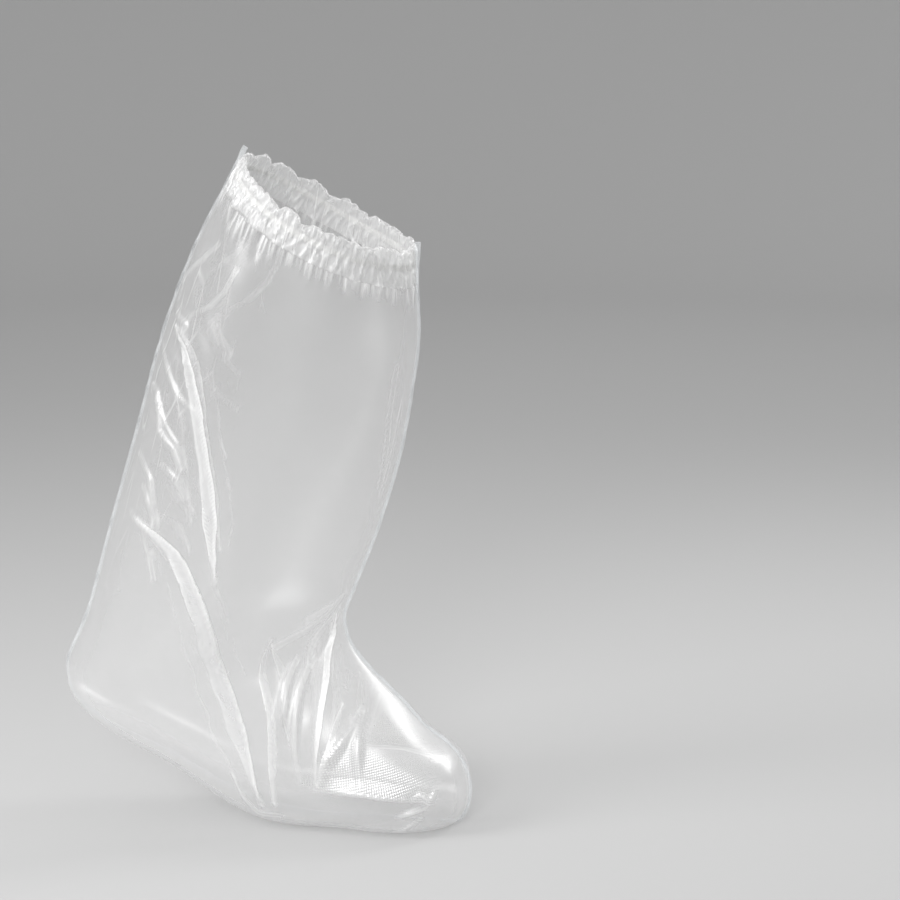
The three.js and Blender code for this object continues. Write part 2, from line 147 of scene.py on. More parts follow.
outer_folds = calf_creases + [
    ("heel link", "ridge", 0.0035, 0.001,
     [(5.05, 0.66), (5.42, 0.572), (5.79, 0.492), (5.49, 0.492), (5.23, 0.505)]),
    ("long drag", "to back", 0.0115, 0.0014,
     [(2.78, 0.89), (2.97, 0.79), (3.26, 0.732), (3.52, 0.692), (3.83, 0.658), (4.15, 0.62), (4.49, 0.582),
      (4.82, 0.55), (5.16, 0.518), (5.56, 0.48)]),
    ("heel drag", "to back", 0.0135, 0.0016,
     [(4.83, 0.848), (4.93, 0.76), (5.06, 0.692), (5.23, 0.635), (5.52, 0.572), (5.95, 0.507), (6.59, 0.442),
      (7.51, 0.405), (8.33, 0.442), (8.88, 0.515), (9.37, 0.582), (9.8, 0.65), (10.2, 0.725)]),
    ("heel crest", "ridge", 0.003, 0.0007,
     [(5.2, 0.662), (5.46, 0.6), (5.86, 0.535), (6.42, 0.472), (7.33, 0.422), (8.24, 0.452), (8.79, 0.525),
      (9.28, 0.592)]),
    ("drag tail", "ridge", 0.006, 0.0008,
     [(5.2, 0.525), (5.56, 0.485), (5.97, 0.44), (6.65, 0.388), (7.65, 0.362)]),
    ("instep pinch", "to back", 0.0045, 0.0024,
     [(6.6, 0.03), (7.75, 0.05), (8.9, 0.15), (9.75, 0.3), (10.35, 0.45), (10.75, 0.55)]),
    ("sole pleat", "to front", 0.006, 0.0018, [(7.05, 0.23), (8.3, 0.31), (9.3, 0.44), (10.35, 0.7)]),
    ("toe pleat", "to front", 0.004, 0.0016, [(9.8, 0.19), (10.25, 0.33), (10.75, 0.53)]),
    ("sole crease", "ridge", 0.005, 0.0016, [(9.53, 0.67), (9.81, 0.71), (10.2, 0.75), (10.48, 0.73)]),
    ("instep face", "ridge", 0.008, 0.0018, [(6.6, 0.03), (7.15, 0.07), (8.3, 0.15)]),
    ("ankle crease", "ridge", 0.008, 0.0022, [(6.25, 0.04), (6.75, 0.07), (7.15, 0.13), (7.4, 0.22)]),
    ("second pinch", "ridge", 0.0055, 0.0026, [(8.3, 0.14), (9.55, 0.38), (10.35, 0.55)]),
    ("third pinch", "ridge", 0.0055, 0.0022, [(8.1, 0.18), (9.05, 0.34), (9.7, 0.49)]),
    ("toe side", "ridge", 0.006, 0.0024, [(10.35, 0.18), (10.55, 0.36), (10.75, 0.53)]),
    ("toe face", "ridge", 0.007, 0.002, [(10.35, 0.18), (10.9, 0.32), (11.45, 0.47)]),
    ("toe ledge", "ridge", 0.012, 0.0055, [(10.75, 0.55), (11.55, 0.5), (12.75, 0.48)]),
    ("first pucker", "ridge", 0.0035, 0.0022, [(12.55, 0.49), (12.7, 0.45), (13.0, 0.48), (13.15, 0.38)]),
    ("second pucker", "ridge", 0.0035, 0.002, [(12.4, 0.59), (12.9, 0.53)]),
    ("third pucker", "ridge", 0.0035, 0.0018, [(12.4, 0.7), (12.85, 0.6)]),
    ("shin line", "ridge", 0.008, 0.0008, [(2.6, 0.1), (3.4, 0.09), (4.4, 0.05)]),
]
inner_creases = [(*crease[:4], np.add(crease[4], inner_crease_shift)) for crease in calf_creases]
inner_folds = inner_creases + [
    ("long drag", "to back", 0.007, 0.0012,
     [(2.9, 0.94), (3.34, 0.842), (3.73, 0.795), (4.17, 0.748), (4.62, 0.695), (5.1, 0.64), (5.62, 0.585)]),
    ("heel drag", "to front", 0.009, 0.0014,
     [(5.05, 0.888), (5.34, 0.808), (5.72, 0.712), (6.32, 0.612), (7.25, 0.525), (8.4, 0.568)]),
    ("instep pinch", "to back", 0.0045, 0.0024, [(6.7, 0.03), (8.4, 0.14), (9.6, 0.34), (10.4, 0.56)]),
    ("sole pleat", "to front", 0.006, 0.0018, [(7.9, 0.33), (8.8, 0.42), (9.9, 0.66)]),
    ("toe pleat", "to front", 0.004, 0.0016, [(9.6, 0.16), (10.3, 0.34), (10.9, 0.55)]),
    ("ankle crease", "ridge", 0.008, 0.0022, [(6.3, 0.04), (6.8, 0.08), (7.3, 0.18)]),
    ("second pinch", "ridge", 0.0055, 0.0026, [(8.0, 0.16), (9.3, 0.38), (10.1, 0.58)]),
    ("toe side", "ridge", 0.006, 0.0024, [(10.4, 0.2), (10.8, 0.42), (11.0, 0.55)]),
    ("toe ledge", "ridge", 0.012, 0.0055, [(10.9, 0.55), (11.7, 0.5), (12.8, 0.47)]),
    ("first pucker", "ridge", 0.0035, 0.0022, [(12.4, 0.5), (12.8, 0.44), (13.1, 0.36)]),
    ("shin line", "ridge", 0.008, 0.0008, [(2.5, 0.08), (3.6, 0.09), (4.6, 0.06)]),
]


def beside(points, normals, line):
    """Where each point lies beside a line on the film: signed distance, direction across, share along it."""
    nearest = np.full(points.shape[:2], np.inf)
    share, gaps, headings = np.zeros(points.shape[:2]), np.zeros(points.shape), np.zeros(points.shape)
    for i, step in enumerate(np.diff(line, axis=0)):
        away = points - line[i]
        part = np.clip(away @ step / (step @ step), 0, 1)
        gap = away - part[..., None] * step
        distance = np.linalg.norm(gap, axis=-1)
        closer = distance < nearest
        nearest = np.where(closer, distance, nearest)
        share = np.where(closer, (i + part) / (len(line) - 1), share)
        gaps = np.where(closer[..., None], gap, gaps)
        headings = np.where(closer[..., None], step, headings)
    across = np.cross(normals, headings)
    across /= np.maximum(np.linalg.norm(across, axis=-1, keepdims=True), 1e-12)
    return np.copysign(nearest, (gaps * across).sum(-1)), across, share


# The layers of a pleat lie a gap apart, and one narrower than the low width stands up less. Its film is drawn
# from a band on both sides, wider than the pleat by the draw.
layer_gap = 0.0006
low_pleat = 0.004
pleat_draw = 0.006


def pleat(offset, width, height, grain):
    """Shift across and lift of film that is turned under itself, by its offset from the fold's line.

    The film runs on past the line by half the width, turns back by the width, and goes on over itself, so
    three layers lie on each other, and the upper two stand up by the height at the outer turn. Points within
    the grain of a turn are set on it, which keeps both edges straight.
    """
    band = pleat_draw + width
    half = np.maximum(width / 2, 1e-6)
    snap = np.minimum(grain * (band + width) / band, half / 2)
    far = np.abs(offset) * (band + width) / band
    inner = far * half / (half - snap)
    outer = half + (far - half - snap) * (band + half) / (band + half - snap)
    far = np.where(far < half - snap, inner, np.where(far < half + snap, half, outer))
    film = np.copysign(far, offset)
    place = np.where(far <= half, -film, film - np.copysign(width, offset))
    layer = np.clip((film + half) / (2 * snap) + 0.5, 0, 1) + np.clip((film - half) / (2 * snap) + 0.5, 0, 1)
    past = np.where(film > half, np.clip((place - half) / (band - half), 0, 1), 0)
    stand = height * np.clip((half - place) / (2 * half), 0, 1) * np.clip(layer, 0, 1)
    lift = (layer_gap * layer * (1 - past) ** 2 + stand) * np.minimum(1, width / low_pleat)
    inside = np.abs(offset) < band
    return np.where(inside, place - offset, 0), np.where(inside, lift, 0)


def ridge(offset, width, height, grain):
    """Shift and lift of a ridge, a tent with slightly hollow sides. Points near the crest are set on it."""
    hollow = 1.4
    far = np.abs(offset)
    kept = np.where(far < width, np.maximum(far - grain, 0) * width / (width - grain), far)
    return np.copysign(kept - far, offset), height * np.maximum(0, 1 - kept / width) ** hollow


def slid(base, normals, shift):
    """Places and normals that the points reach when they slide over the bag by a shift in its surface."""
    down, over = np.gradient(base, axis=0), np.gradient(base, axis=1)
    down_down, down_over, over_over = (down**2).sum(-1), (down * over).sum(-1), (over**2).sum(-1)
    along, across = (shift * down).sum(-1), (shift * over).sum(-1)
    area = np.maximum(down_down * over_over - down_over**2, 1e-16)
    rows, columns = base.shape[:2]
    row = np.clip(np.arange(rows)[:, None] + (over_over * along - down_over * across) / area, 0, rows - 1.001)
    column = np.clip(np.arange(columns) + (down_down * across - down_over * along) / area, 0, columns - 1.001)
    i, j = row.astype(int), column.astype(int)
    f, g = (row - i)[..., None], (column - j)[..., None]
    both = np.concatenate([base, normals], -1)
    upper = both[i, j] * (1 - g) + both[i, j + 1] * g
    lower = both[i + 1, j] * (1 - g) + both[i + 1, j + 1] * g
    return np.split(upper * (1 - f) + lower * f, 2, axis=-1)


def ripples(along, across, lengths_along, lengths_across, seed):
    """Seeded sum of plane waves over two coordinates in metres, with wavelengths between the given limits."""
    rng = np.random.default_rng(seed)
    count = 36
    wave_along = rng.choice((-1, 1), count) / np.exp(rng.uniform(*np.log(lengths_along), count))
    wave_across = 1 / np.exp(rng.uniform(*np.log(lengths_across), count))
    phase = rng.uniform(0, 1, count)
    turns = along[..., None] * wave_along + across[..., None] * wave_across + phase
    weight = lengths_across[0] * wave_across
    return (np.sin(2 * np.pi * turns) / np.sqrt(weight)).sum(-1) / np.sqrt(count / 2)


def lattice(rows, columns, down, over):
    """Slices that pair grid points down rows and over columns apart, in sets that hold no point twice."""
    period = 2 * max(down, abs(over))
    sets = []
    for c in range(period):
        if down:
            first = (slice(c, rows - down, period), slice(max(0, -over), columns - max(0, over)))
            second = (slice(c + down, rows, period), slice(max(0, over), columns + min(0, over)))
        else:
            first = (slice(None), slice(c, columns - over, period))
            second = (slice(None), slice(c + over, columns, period))
        sets.append((first, second))
    return sets


def settled(points, base, normals, spare, slack, free, steps, bend, pull, reach):
    """Film let go on its form: the grid's edges, diagonals and double edges are pushed to length in turn.

    An edge's length is its length on the form, times 1 + slack + the squares of its shares in the spare
    directions. After each round a point is drawn back to the form by pull and kept within reach of it.
    """
    rows, columns = points.shape[:2]
    shear = 0.6
    pairs = ((0, 1, 1), (1, 0, 1), (1, 1, shear), (1, -1, shear), (0, 2, bend), (2, 0, bend))
    ties = []
    for down, over, weight in pairs:
        for first, second in lattice(rows, columns, down, over):
            edge = base[second] - base[first]
            length = np.maximum(np.linalg.norm(edge, axis=-1), 1e-7)
            growth = 1 + (slack[first] + slack[second]) / 2
            for direction in spare:
                mean = (direction[first] + direction[second]) / 2
                growth = growth + ((edge * mean).sum(-1) / length) ** 2
            ties.append((first, second, weight / 2, length * growth))
    for _ in range(steps):
        for first, second, weight, rest in ties:
            gap = points[second] - points[first]
            length = np.sqrt((gap**2).sum(-1)) + 1e-9
            move = gap * (weight * (1 - rest / length))[..., None]
            points[first] += move * free[first]
            points[second] -= move * free[second]
        rise = ((points - base) * normals).sum(-1)
        rise -= np.clip(rise, *reach) * (1 - pull)
        points -= (rise[..., None] * normals + pull * (points - base)) * free
    return points


# Half the girth of the drawn hem, the seed of its waves, and wavelengths for a way in which nothing varies.
half_girth = 0.235
hem_seed = 5
no_waves = (1, 2)


def gather(way_round, seed):
    """Crinkle of the gathered hem, in metres out of the film, fading to nothing at both welds."""
    gather_height, gather_waves, weld_fade = 0.0009, (0.007, 0.03), 0.04
    girth = half_girth * way_round
    wave = ripples(np.zeros_like(girth), girth, no_waves, gather_waves, seed)
    return gather_height * wave * np.minimum(1, np.minimum(way_round, 1 - way_round) / weld_fade)


def stage_share(position, first, last):
    """Share of the way from one position to another, held between 0 and 1."""
    return np.clip((position - first) / (last - first), 0, 1)


# The film is pressed tight over the outer side of the toes, down to the ledge, and there its dots stand out.
# The inner side is pressed less. The ledge line has a row of stations and a row of shares of the way round.
pressed_stations = ((10.2, 10.7), (13.3, 12.6))
pressed_top = (0.28, 0.4)
pressed_foot = 0.45
ledge_clear, ledge_gain = 0.01, 6
inner_pressed = 0.2
ledge_line = ((10.0, 10.75, 11.55, 12.75), (0.58, 0.55, 0.5, 0.48))

# The back of the calf is loose, most at the middle station and behind the share where it begins.
calf_middle, calf_reach = 3.0, 1.5
calf_begin, calf_blend = 0.6, 0.25
calf_loose, calf_spare = 0.22, 0.012

# Film beside a pleat is loose as far as its reach, has spare length across it, and is drawn taut.
pleat_end = 0.22
fold_knots = 6
pleat_reach, usual_pleat = 0.018, 0.012
pleat_loose, pleat_spare, pleat_taut = 0.4, 0.08, 0.015
pleat_sway = ((0.05, 20, 40), (0.05, 47, 300))

# All over, the film has a little slack and hangs in broad waves. Near a weld it lies flat.
held_edge = 0.012
film_loose, film_slack, loose_slack = 0.06, 0.0015, 0.004
drape_height, drape_edge = 0.001, 0.04
drape_waves = ((0.25, 0.6), (0.07, 0.16))
crumple_height, crumple_share = 0.0011, 0.5
drawn_waves = ((0.06, 0.3), (0.012, 0.04))
crumple_waves = ((0.014, 0.05), (0.014, 0.05))
hem_stations, hem_fall, hem_spare = 0.55, 1.5, 0.05


def laid_panel(side, folds, rows, columns, seed):
    """A panel laid in its folds on the bag, with what settled needs to let it go.

    The result holds the laid points, their normals, spare directions, slack, lengths down and round the film,
    the lift of the crumples that it starts with, and marks of how loose, folded and pressed the film is.
    """
    position, reach_down = even_rows(1.004, last_station, rows)
    way_round = np.linspace(0, 1, columns)
    base = bag_side(position, way_round, side)
    normals = outward(base, side)
    girth = np.linalg.norm(np.diff(base, axis=1), axis=2).sum(1)[:, None]
    grain = 0.5 * girth / columns
    along = np.repeat(np.linspace(0, reach_down, rows)[:, None], columns, axis=1)
    edge = np.minimum(np.minimum(girth * way_round, girth * (1 - way_round)), reach_down - along)
    edge_fade = np.clip(edge / held_edge, 0, 1)
    calf_back = np.exp(-(((position[:, None] - calf_middle) / calf_reach) ** 2))
    calf_back = calf_back * np.clip((way_round - calf_begin) / calf_blend, 0, 1)
    shift, lift, folded, spare = np.zeros(base.shape), np.zeros(base.shape[:2]), np.zeros(base.shape[:2]), []
    loose, taut = calf_loose * calf_back, 0
    for name, kind, width, height, path in folds:
        path = np.array(path)
        knots = np.linspace(0, len(path) - 1, fold_knots * len(path))
        if kind == "ridge":
            knots = np.stack([np.interp(knots, np.arange(len(path)), column) for column in path.T], -1)
        else:
            knots = blended(path, knots)
        corner = np.arange(len(knots))
        line = bag_side(knots[:, 0], knots[:, 1], side)[corner, corner]
        length = np.append(0, np.cumsum(np.linalg.norm(np.diff(line, axis=0), axis=1)))
        even = np.linspace(0, length[-1], len(line))
        line = np.stack([np.interp(even, length, line[:, k]) for k in range(3)], -1)
        offset, across, share = beside(base, normals, line)
        fade = np.clip(np.minimum(share, 1 - share) / pleat_end, 0, 1) * edge_fade
        if kind == "ridge":
            moved, raised = ridge(offset, width, height * np.sin(np.pi * share) * edge_fade, grain)
        else:
            turn = 1 if kind == "to front" else -1
            uneven = 1 + sum(sway * np.sin(turns * share + at * width) for sway, turns, at in pleat_sway)
            moved, raised = pleat(turn * offset, width * fade * uneven, height, grain)
            moved = turn * moved
            near = fade * width / usual_pleat * np.exp(-((offset / pleat_reach) ** 2))
            loose, taut = loose + pleat_loose * near, taut + pleat_taut * np.clip(near, 0, 1)
            spare.append(across * np.sqrt(pleat_spare * near)[..., None])
            folded = np.maximum(folded, np.clip((raised - layer_gap) / layer_gap, 0, 1))
        if name == "long drag":
            drag_across = offset
            spare.append(across * np.sqrt(calf_spare * calf_back * edge_fade)[..., None])
        shift += (moved * edge_fade)[..., None] * across
        lift += raised
    loose = np.clip(film_loose + loose, 0, 1) * edge_fade
    over = girth * way_round
    drape = ripples(along, over, *drape_waves, seed) * np.clip(np.minimum(edge, along) / drape_edge, 0, 1)
    drawn = ripples(along, drag_across, *drawn_waves, seed + 1)
    crumple = ripples(along, drag_across, *crumple_waves, seed + 2)
    hem = np.clip(1 - (position[:, None] - 1) / hem_stations, 0, 1) ** hem_fall
    round_way = np.gradient(base, axis=1)
    round_way /= np.maximum(np.linalg.norm(round_way, axis=2, keepdims=True), 1e-9)
    spare.append(np.sqrt(hem_spare * hem)[..., None] * round_way)
    places, normals = slid(base, normals, shift)
    places += (lift + drape_height * drape + hem * gather(way_round, hem_seed + side))[..., None] * normals
    places[-1], places[:, 0], places[:, -1] = base[-1], base[:, 0], base[:, -1]
    crumples = crumple_height * loose * (drawn + crumple_share * crumple)
    toe_ways = [stage_share(position[:, None], *turn) for turn in pressed_stations]
    ledge = np.interp(position, *ledge_line)[:, None] + ledge_clear
    above_ledge = np.clip(ledge_gain * stage_share(way_round, ledge, pressed_foot), 0, 1)
    pressed = toe_ways[0] * toe_ways[1] * stage_share(way_round, *pressed_top) * above_ledge
    pressed = pressed * (1 if side < 0 else inner_pressed)
    marks = {"loose": calf_back * edge_fade, "folded": folded, "pressed": pressed}
    slack = film_slack + loose_slack * loose - taut
    return places, normals, spare, slack, along, over, crumples, marks


def eased(field):
    """A grid of vectors, each inner one set to the mean of itself, twice, and its two neighbours."""
    field = field.copy()
    field[1:-1] = (field[:-2] + 2 * field[1:-1] + field[2:]) / 4
    field[:, 1:-1] = (field[:, :-2] + 2 * field[:, 1:-1] + field[:, 2:]) / 4
    return field


settle_steps = {1: 160, 2: 30}
film_bend, form_pull = 0.05, 0.004
film_reach = (-0.004, 0.005)


def film_panel(side, folds, rows, columns, seed):
    """A panel let go in its folds on a grid of half the rows and columns, then on the full one, and eased."""
    for level in (1, 2):
        laid = laid_panel(side, folds, rows * level // 2, columns * level // 2, seed)
        places, normals, spare, slack, along, over, crumples, marks = laid
        if level == 1:
            start = places + crumples[..., None] * normals
        else:
            wander = blended(wander, np.linspace(0, len(wander) - 1, rows)).swapaxes(0, 1)
            wander = blended(wander, np.linspace(0, len(wander) - 1, columns)).swapaxes(0, 1)
            start = places + wander
        free = np.ones(places.shape[:2] + (1,))
        free[0] = free[-1] = free[:, 0] = free[:, -1] = 0
        start = places + (start - places) * free
        steps = settle_steps[level]
        points = settled(start, places, normals, spare, slack, free, steps, film_bend, form_pull, film_reach)
        wander = eased(eased(points - places))
    return places + wander, np.stack([along, over], -1), marks


def bends(points):
    """How sharply a grid bends, per metre: the larger second difference over the squared spacing."""
    least_spacing = 4e-4
    sharpest = 0
    for axis in (0, 1):
        spacing = np.linalg.norm(np.gradient(points, axis=axis), axis=2)
        second = np.linalg.norm(np.gradient(np.gradient(points, axis=axis), axis=axis), axis=2)
        sharpest = np.maximum(sharpest, second / np.maximum(spacing, least_spacing) ** 2)
    return sharpest


sharp_turn = np.radians(55)


def grid_object(name, points, flip, film=None, marks=None, ring=False, loop=False, caps=False):
    """A mesh of a grid of points, with the flat film's coordinates as a UV map and its marks as attributes.

    ring joins the last column to the first, loop the last row to the first, and caps closes both end rows.
    """
    rows, columns = points.shape[:2]
    number = np.arange(rows * columns).reshape(rows, columns)
    if ring:
        number = np.hstack([number, number[:, :1]])
    if loop:
        number = np.vstack([number, number[:1]])
    corners = [number[:-1, :-1], number[1:, :-1], number[1:, 1:], number[:-1, 1:]]
    faces = np.stack(corners[::-1] if flip else corners, -1).reshape(-1, 4).tolist()
    if caps:
        ends = [number[0, :columns].tolist(), number[-1, :columns].tolist()[::-1]]
        faces += [end[::-1] for end in ends] if flip else ends
    mesh = bpy.data.meshes.new(name)
    mesh.from_pydata(points.reshape(-1, 3), [], faces)
    corner_points = np.empty(len(mesh.loops), np.int32)
    mesh.loops.foreach_get("vertex_index", corner_points)
    if film is not None:
        uv = mesh.uv_layers.new(name="film")
        uv.data.foreach_set("uv", film.reshape(-1, 2)[corner_points].astype(np.float32).ravel())
    for mark, values in (marks or {}).items():
        layer = mesh.attributes.new(mark, "FLOAT", "POINT")
        layer.data.foreach_set("value", values.astype(np.float32).ravel())
    mesh.shade_smooth()
    mesh.set_sharp_from_angle(angle=sharp_turn)
    piece = bpy.data.objects.new(name, mesh)
    bpy.context.scene.collection.objects.link(piece)
    return piece


class Shade:
    """A socket in one material's nodes. Arithmetic on it adds Math nodes, and node adds any other node."""

    def __init__(self, tree, socket=None):
        self.tree, self.socket = tree, socket

    def node(self, kind, settings=None, inputs=None, output=0):
        made = self.tree.nodes.new(kind)
        for name, value in (settings or {}).items():
            setattr(made, name, value)
        for name, value in (inputs or {}).items():
            if isinstance(value, Shade):
                self.tree.links.new(value.socket, made.inputs[name])
            else:
                made.inputs[name].default_value = value
        return Shade(self.tree, made.outputs[output] if len(made.outputs) else None)

    def math(self, operation, *values):
        return self.node("ShaderNodeMath", {"operation": operation}, dict(enumerate(values)))

    def __add__(self, other):
        return self.math("ADD", self, other)

    __radd__ = __add__

    def __mul__(self, other):
        return self.math("MULTIPLY", self, other)

    __rmul__ = __mul__

    def __sub__(self, other):
        return self.math("SUBTRACT", self, other)

    def __rsub__(self, other):
        return self.math("SUBTRACT", other, self)


def new_material(name):
    """An empty material with nodes, and a Shade to add nodes with."""
    material = bpy.data.materials.new(name)
    material.use_nodes = True
    material.node_tree.nodes.clear()
    return material, Shade(material.node_tree)


# The embossed dots and the crinkles of loose film, in metres, with a crinkle's line as a share of its pitch.
dot_pitch = 0.0030
dot_height = 0.00012
dots_unpressed = 0.1
crinkle_pitch = 0.015
crinkle_line = 0.05
crinkle_height = 0.0003
crinkle_long = (0.2, 1, 1)
broken_gain, broken_start = 5.0, -2.1

# How much of the film is milky, and how much of it is gloss: all over, and what each mark adds.
film_density = 0.16
added_density = {"cloud": 0.06, "crease": 0.5, "crinkle": 0.32, "folded": 0.12}
film_gloss, pressed_gloss, sparkle_gloss = 0.02, 0.06, 0.3
glow_share = 0.4
film_white = (0.88, 0.88, 0.88, 1)
film_glow = (0.86, 0.86, 0.86, 1)
film_clear = (0.97, 0.97, 0.97, 1)


def film_material():
    """Milky film: clear between the creases, whiter on them, glossy at a slant, with rows of embossed dots.

    Loose film also has fine crinkles, the edges of random cells that are longer down the film than across.
    """
    material, shade = new_material("milky_film")
    flat = shade.node("ShaderNodeUVMap", {"uv_map": "film"})
    u = shade.node("ShaderNodeSeparateXYZ", None, {0: flat}, 0)
    v = shade.node("ShaderNodeSeparateXYZ", None, {0: flat}, 1)
    turn = 2 * np.pi / dot_pitch
    dots = shade.math("COSINE", u * turn) * shade.math("COSINE", v * turn)
    cloud = shade.node("ShaderNodeTexNoise", None, {"Vector": flat, "Scale": 24.0, "Detail": 3.0}, 0)
    crease, pressed, loose, folded = [
        shade.node("ShaderNodeAttribute", {"attribute_name": mark}, None, 2)
        for mark in ("crease", "pressed", "loose", "folded")]
    long_cells = shade.node("ShaderNodeVectorMath", {"operation": "MULTIPLY"}, {0: flat, 1: crinkle_long})
    streaks = shade.node("ShaderNodeTexNoise", None, {"Vector": long_cells, "Scale": 230.0, "Detail": 0.0}, 0)
    cells = {"voronoi_dimensions": "2D", "feature": "DISTANCE_TO_EDGE"}
    to_edge = shade.node("ShaderNodeTexVoronoi", cells, {"Vector": long_cells, "Scale": 1 / crinkle_pitch})
    line = shade.node("ShaderNodeMath", {"operation": "MULTIPLY_ADD", "use_clamp": True}, {
        0: to_edge, 1: -1 / crinkle_line, 2: 1.0})
    patches = shade.node("ShaderNodeTexNoise", None, {"Vector": flat, "Scale": 45.0, "Detail": 0.0}, 0)
    broken = shade.node("ShaderNodeMath", {"operation": "MULTIPLY_ADD", "use_clamp": True}, {
        0: patches, 1: broken_gain, 2: broken_start})
    crinkle = line * broken * loose
    raised = dots_unpressed + (1 - dots_unpressed) * pressed
    emboss = dots * raised + crinkle * (crinkle_height / dot_height)
    sparkle = pressed * shade.math("MAXIMUM", dots, 0.0)
    bump = shade.node("ShaderNodeBump", None, {"Height": emboss, "Strength": 1.0, "Distance": dot_height})
    milky = shade.node("ShaderNodeBsdfPrincipled", None, {
        "Base Color": film_white, "Roughness": 0.4 + 0.12 * cloud, "Normal": bump})
    through = shade.node("ShaderNodeBsdfTranslucent", None, {"Color": film_glow, "Normal": bump})
    body = shade.node("ShaderNodeMixShader", None, {0: glow_share, 1: milky, 2: through})
    clear = shade.node("ShaderNodeBsdfTransparent", None, {"Color": film_clear})
    density = film_density + added_density["cloud"] * cloud + added_density["crease"] * crease
    density = density + added_density["crinkle"] * crinkle + added_density["folded"] * folded * streaks
    film = shade.node("ShaderNodeMixShader", None, {0: density, 1: clear, 2: body})
    gloss = shade.node("ShaderNodeBsdfAnisotropic", None, {
        "Color": (1, 1, 1, 1), "Roughness": 0.3, "Normal": bump})
    slant = shade.node("ShaderNodeLayerWeight", None, {"Blend": 0.06, "Normal": bump}, 1)
    shine = slant + film_gloss + pressed_gloss * pressed + sparkle_gloss * sparkle
    surface = shade.node("ShaderNodeMixShader", None, {0: shine, 1: film, 2: gloss})
    shade.node("ShaderNodeOutputMaterial", None, {0: surface})
    return material


film_look = film_material()
panel_rows, panel_columns = 440, 220
crease_from, crease_span = 110, 320
panel_seed = 20
for name, side, folds in (("outer_panel", -1, outer_folds), ("inner_panel", 1, inner_folds)):
    points, film, marks = film_panel(side, folds, panel_rows, panel_columns, panel_seed + side)
    crease = np.clip((bends(points) - crease_from) / crease_span, 0, 1)
    # Evened out down the film, so that the grid's rows don't show.
    crease[1:-1] = (crease[:-2] + 2 * crease[1:-1] + crease[2:]) / 4
    marks["crease"] = crease
    panel = grid_object(name + "_film", points, side > 0, film, marks)
    panel.data.materials.append(film_look)
    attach(panel, "root")
    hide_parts(name)

# Welded edge
# A narrow band in the middle plane where both films are melted together, with fine ribs from the welding bar.
# It stands out down the front and the back, lies flat under the sole, and ends in a small ear at both tops.
weld_width = 0.0026
weld_gauge = 0.0005
ear_width = 0.0045
ear_rise = 0.006
ear_rows = 8
heel_turn = (7.2, 8.4)
toe_turn = (14.6, 13.2)
weld_rows, toe_rows, weld_sides = 300, 26, 10
flutter_height, flutter_waves, flutter_seed = 0.0006, (0.012, 0.05), 3


def weld_path():
    """Line of the weld, down the front, round the toe and up the back, its width and how flat it lies."""
    position, _ = even_rows(0, last_station, weld_rows)
    front = blended(stations[:, :2], position)
    back = blended(stations[:, 2:4], position)[::-1]
    part = np.linspace(1, -1, toe_rows)[1:-1, None]
    top, sole = stations[-1, :2], stations[-1, 2:4]
    half = (top - sole) / 2
    bow = stations[-1, 7] * (1 - part**2) / np.hypot(*half)
    toe = (top + sole) / 2 + half * part + bow * (half[1], -half[0])
    ears = []
    for end in (front, back[::-1]):
        up = end[0] - end[ear_rows]
        ears.append(end[0] + ear_rise * up / np.hypot(*up))
    line = np.vstack([ears[:1], front, toe, back, ears[1:]])
    place = np.concatenate([[0], position, np.full(len(toe), last_station), position[::-1], [0]])
    behind = np.arange(len(line)) >= 1 + len(front) + len(toe)
    flat = np.minimum(stage_share(place, *heel_turn), stage_share(place, *toe_turn)) * behind
    width = weld_width + (ear_width - weld_width) * stage_share(place, 1, 0) ** 2
    return line, width, flat


def weld_points():
    """A flat lens swept along the weld: near and far edge and two faces, the far edge fluttering a little."""
    line, width, flat = weld_path()
    way = np.gradient(line, axis=0)
    way /= np.linalg.norm(way, axis=1, keepdims=True)
    length = np.append(0, np.cumsum(np.linalg.norm(np.diff(line, axis=0), axis=1)))
    nothing = np.zeros(len(line))
    tangent = np.stack([way[:, 0], nothing, way[:, 1]], -1)
    out = np.stack([-way[:, 1], nothing, way[:, 0]], -1)
    lay = flat * np.pi / 2
    reach = out * np.cos(lay)[:, None] - np.sin(lay)[:, None] * (0, 1, 0)
    face = np.cross(tangent, reach)
    loop = np.linspace(0, 2 * np.pi, weld_sides, endpoint=False)
    along_reach = (1 - np.cos(loop)) / 2
    thick = np.sin(loop) * weld_gauge / 2
    flutter = flutter_height * ripples(length, nothing, flutter_waves, no_waves, flutter_seed) * (1 - flat)
    root = np.stack([line[:, 0], nothing, line[:, 1]], -1) + out * (weld_gauge * flat)[:, None]
    points = root[:, None] + reach[:, None] * (width[:, None] * along_reach)[..., None]
    points = points + face[:, None] * (thick + flutter[:, None] * along_reach**2)[..., None]
    film = np.stack([np.broadcast_to(length[:, None], points.shape[:2]), width[:, None] * along_reach], -1)
    return points, film


